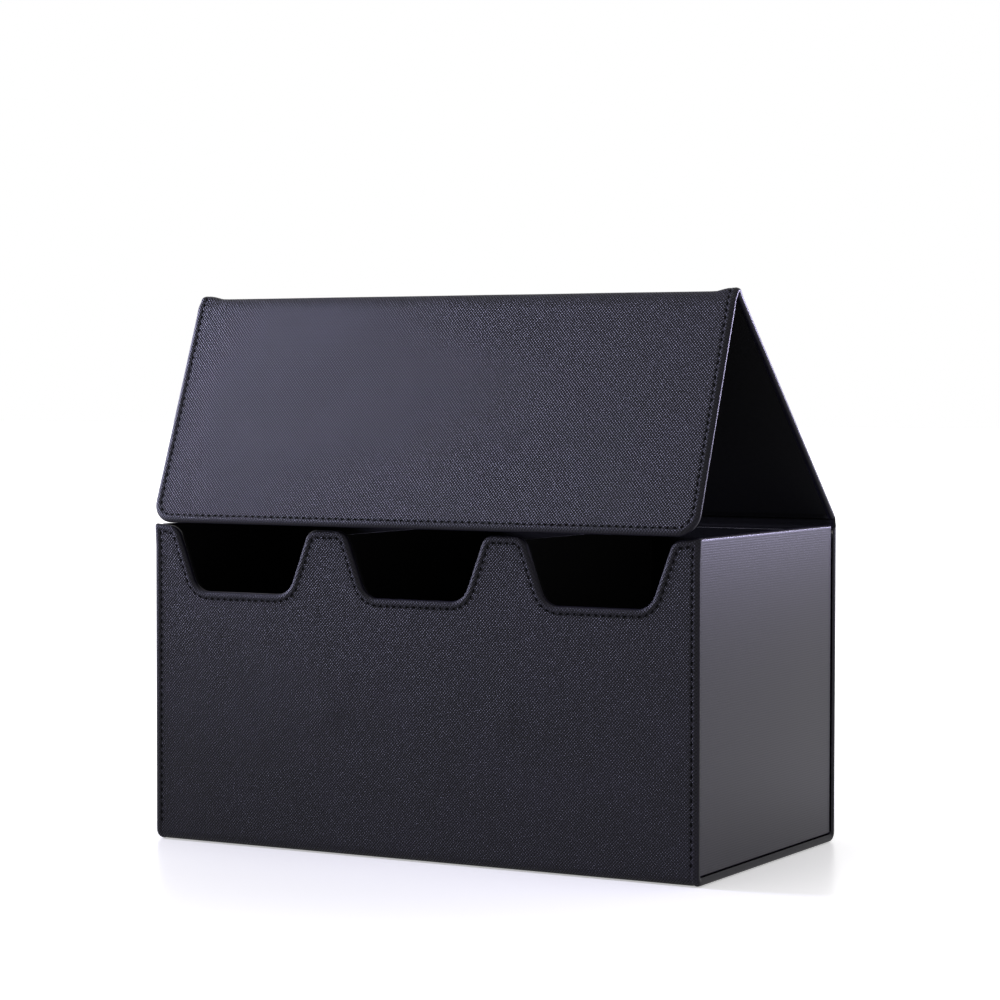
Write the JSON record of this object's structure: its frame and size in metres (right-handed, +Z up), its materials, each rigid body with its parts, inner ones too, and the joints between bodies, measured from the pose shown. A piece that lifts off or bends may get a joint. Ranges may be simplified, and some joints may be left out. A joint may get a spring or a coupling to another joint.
{
  "type": "card slab storage box",
  "caption": "Leather-covered upright box for card slabs, with divided bays behind thumb notches, a hinged top panel and a folding magnetic front flap.",
  "frame": {"origin": "middle of the flat underside of the box", "axes": "+Z up, -Y out of the front with the thumb notches, +X to the right seen from the front, along the box's length"},
  "size_m": [0.277, 0.1516, 0.2509],
  "materials": {
    "leather": "fine canvas emboss, satin black",
    "greyboard": "plain grey board",
    "lining": "matt black microfibre",
    "side_paper": "fine ribbed black covering paper, satin",
    "keeper_steel": "zinc plated",
    "magnet": "nickel plated"
  },
  "bodies": {
    "box": {"bottom_leather": "leather", "front_leather": "leather", "back_leather": "leather", "bottom_board": "greyboard", "front_board": "greyboard", "back_board": "greyboard", "tray_floor": "greyboard", "tray_front_wall": "greyboard", "tray_back_wall": "greyboard", "tray_left_wall": "greyboard", "tray_right_wall": "greyboard", "front_lining": "lining", "back_lining": "lining", "left_lining": "lining", "right_lining": "lining", "divider_1": "lining", "divider_2": "lining", "floor_pad_1": "lining", "floor_pad_2": "lining", "floor_pad_3": "lining", "left_side_paper": "side_paper", "right_side_paper": "side_paper", "keeper_discs": "keeper_steel"},
    "rear_strip": {"rear_strip_leather": "leather", "rear_strip_lining": "lining"},
    "lid": {"lid_board": "greyboard", "lid_leather": "leather", "lid_lining": "lining"},
    "ridge_strip": {"ridge_strip_leather": "leather", "ridge_strip_lining": "lining"},
    "flap": {"flap_board": "greyboard", "flap_leather": "leather", "flap_lining": "lining", "flap_magnets": "magnet"}
  },
  "joints": [
    {"name": "lid_hinge", "type": "hinge", "parent": "box", "child": "rear_strip", "pos_m": [0, 0.0732, 0.14544], "axis": [-1, 0, 0], "range_deg": [-43.4, 14]},
    {"name": "lid_fold", "type": "hinge", "parent": "rear_strip", "child": "lid", "pos_m": [0, 0.07223, 0.14933], "axis": [-1, 0, 0], "range_deg": [0, 152]},
    {"name": "flap_hinge", "type": "hinge", "parent": "lid", "child": "ridge_strip", "pos_m": [0, -0.03444, 0.2502], "axis": [-1, 0, 0], "range_deg": [0, 112]},
    {"name": "flap_tuck", "type": "hinge", "parent": "ridge_strip", "child": "flap", "pos_m": [0, -0.03889, 0.24479], "axis": [-1, 0, 0], "range_deg": [-8, 23]}
  ],
  "couplings": [
    {"joint": "flap_tuck", "follows": "lid_hinge", "ratio": -0.52}
  ]
}
